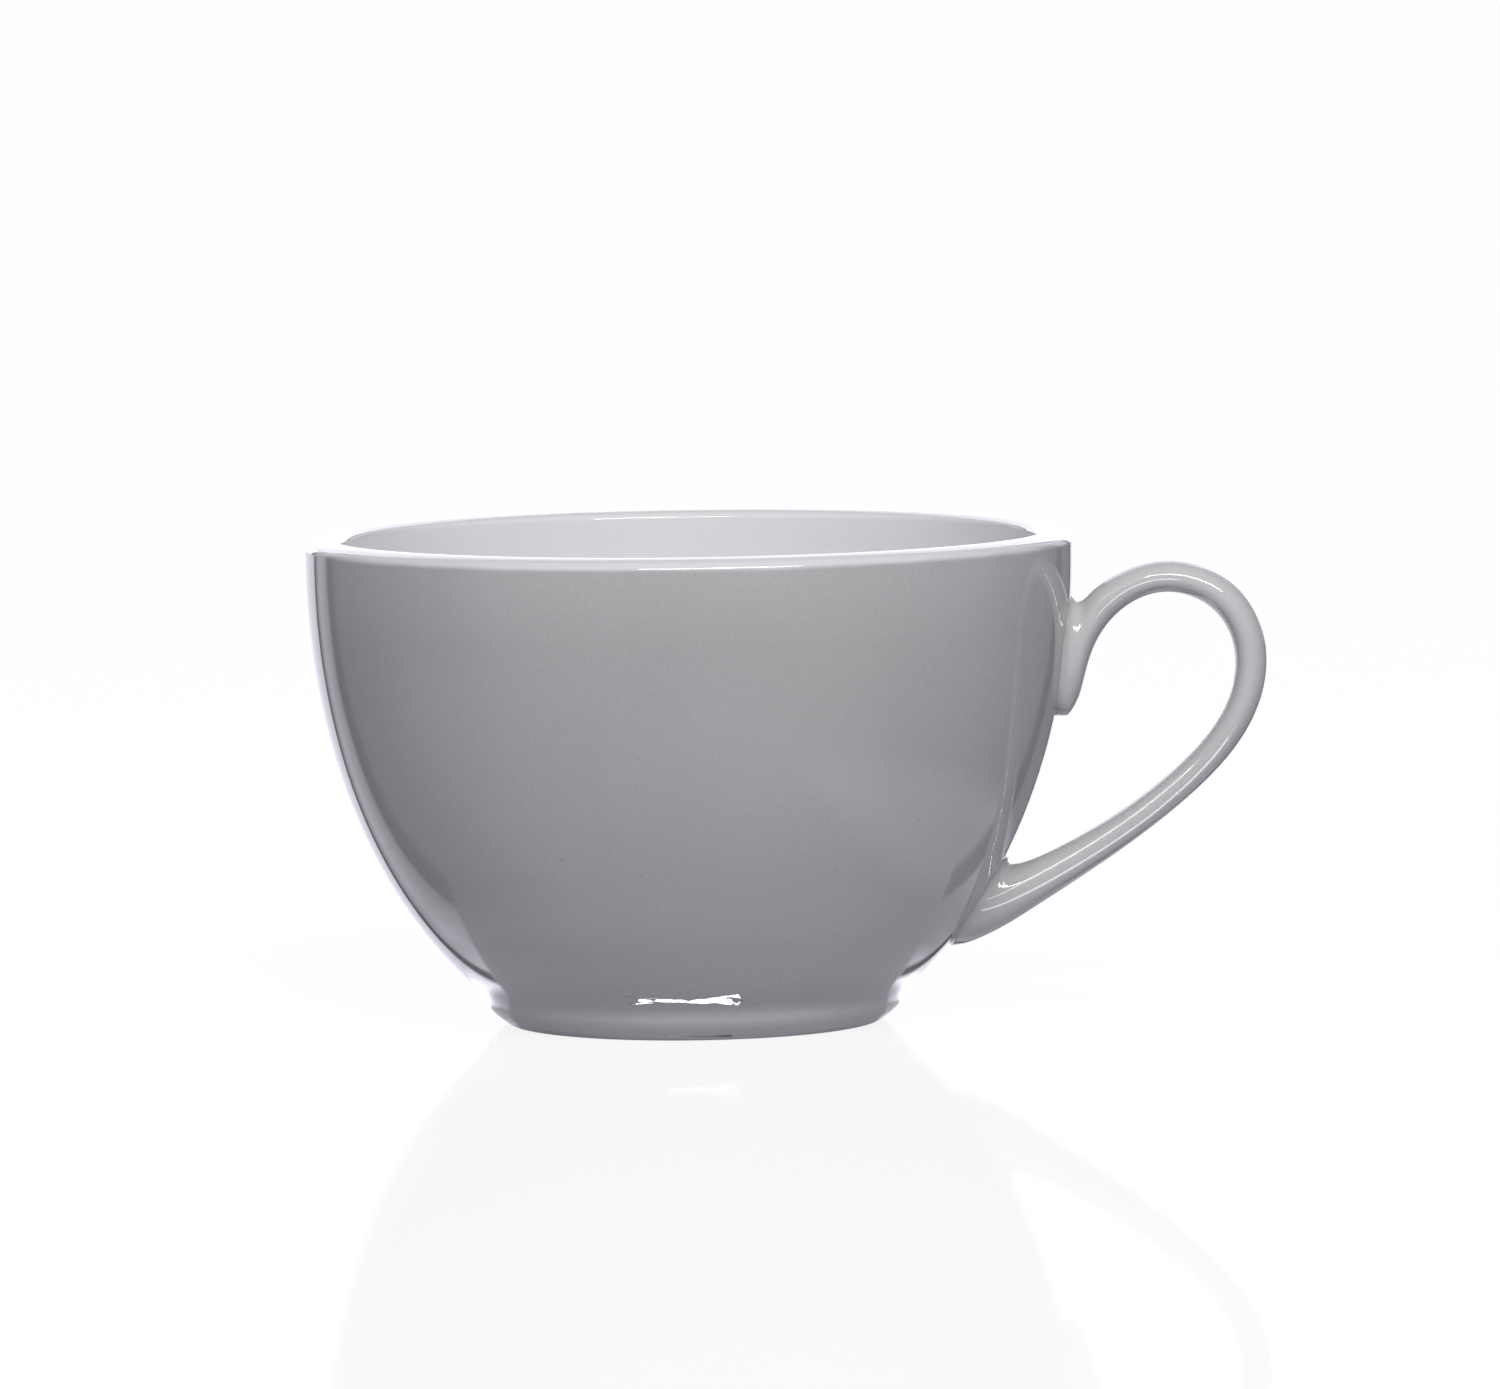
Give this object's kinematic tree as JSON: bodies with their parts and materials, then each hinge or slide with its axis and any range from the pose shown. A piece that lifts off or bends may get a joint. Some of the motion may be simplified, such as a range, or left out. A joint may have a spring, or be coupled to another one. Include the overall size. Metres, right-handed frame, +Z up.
{
  "type": "coffee cup",
  "caption": "Low, thick-walled porcelain coffee cup on a turned foot, coloured glaze outside, white inside and on the lip, ear-shaped handle.",
  "frame": {"origin": "on the table under the middle of the whole cup, handle included; the bowl's upright axis is 12.04 mm towards -X", "axes": "+Z up along the bowl's axis, +X from the bowl to the handle, +Y across the handle"},
  "size_m": [0.12, 0.096, 0.0611],
  "materials": {
    "white_porcelain": "white body under a glossy clear glaze",
    "grey_glaze": "glossy grey glaze with a fine speckle",
    "fired_slip": "fired joining clay under the grey glaze"
  },
  "bodies": {
    "root": {"bowl": "white_porcelain", "foot_ring": "grey_glaze", "outer_glaze": "grey_glaze", "handle": "grey_glaze", "upper_slip_joint": "fired_slip", "lower_slip_joint": "fired_slip"}
  },
  "joints": []
}
